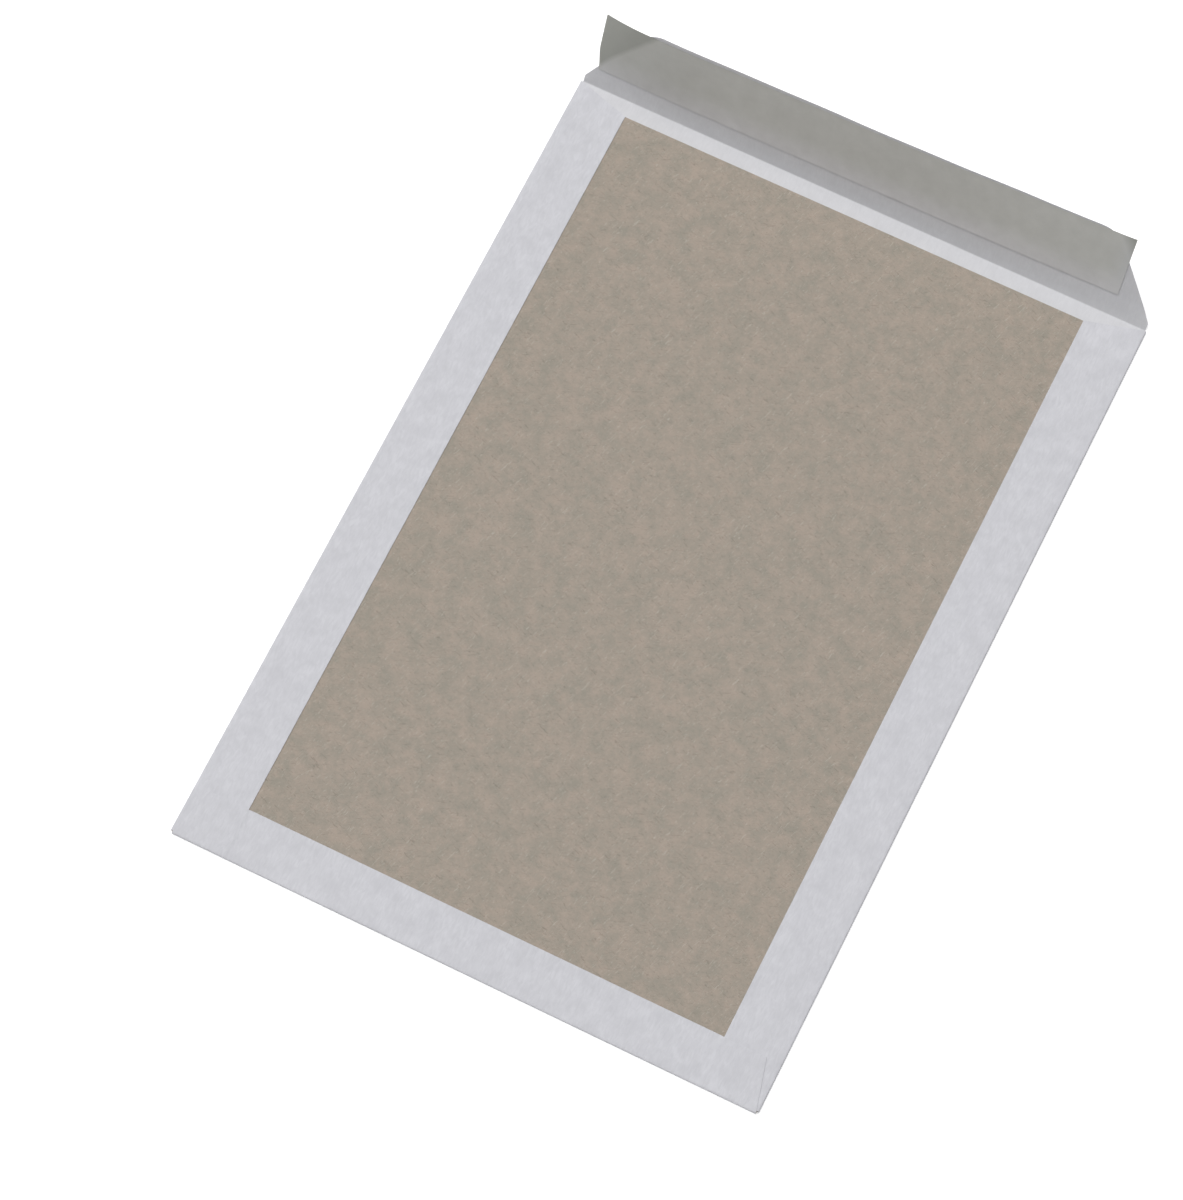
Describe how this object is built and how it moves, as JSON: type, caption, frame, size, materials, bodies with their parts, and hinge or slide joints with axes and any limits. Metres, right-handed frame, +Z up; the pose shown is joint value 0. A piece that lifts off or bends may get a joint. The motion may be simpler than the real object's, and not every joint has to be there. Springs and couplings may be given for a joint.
{
  "type": "board-backed envelope",
  "caption": "Flat white paper pocket envelope with a grey board back, paper wraps glued round it, and a raised closure flap whose adhesive is under a release liner.",
  "frame": {"origin": "centre of the plain address face, which lies on the ground", "axes": "+Y along the envelope's height towards the crease of the closure flap, +Z up through the paper and the board, +X to the right when the board is seen with the flap at the top"},
  "size_m": [0.229, 0.3403, 0.0341],
  "materials": {
    "white_paper": "matt uncoated white paper",
    "grey_board": "matt recycled grey board",
    "seam_glue": "dried dispersion glue",
    "flap_adhesive": "tacky hot-melt adhesive",
    "silicone_paper": "smooth silicone-coated paper"
  },
  "bodies": {
    "root": {"paper_cover": "white_paper", "back_board": "grey_board", "side_seam_glue_left": "seam_glue", "side_seam_glue_right": "seam_glue", "bottom_seam_glue": "seam_glue", "adhesive_strip": "flap_adhesive", "release_liner": "silicone_paper"}
  },
  "joints": []
}
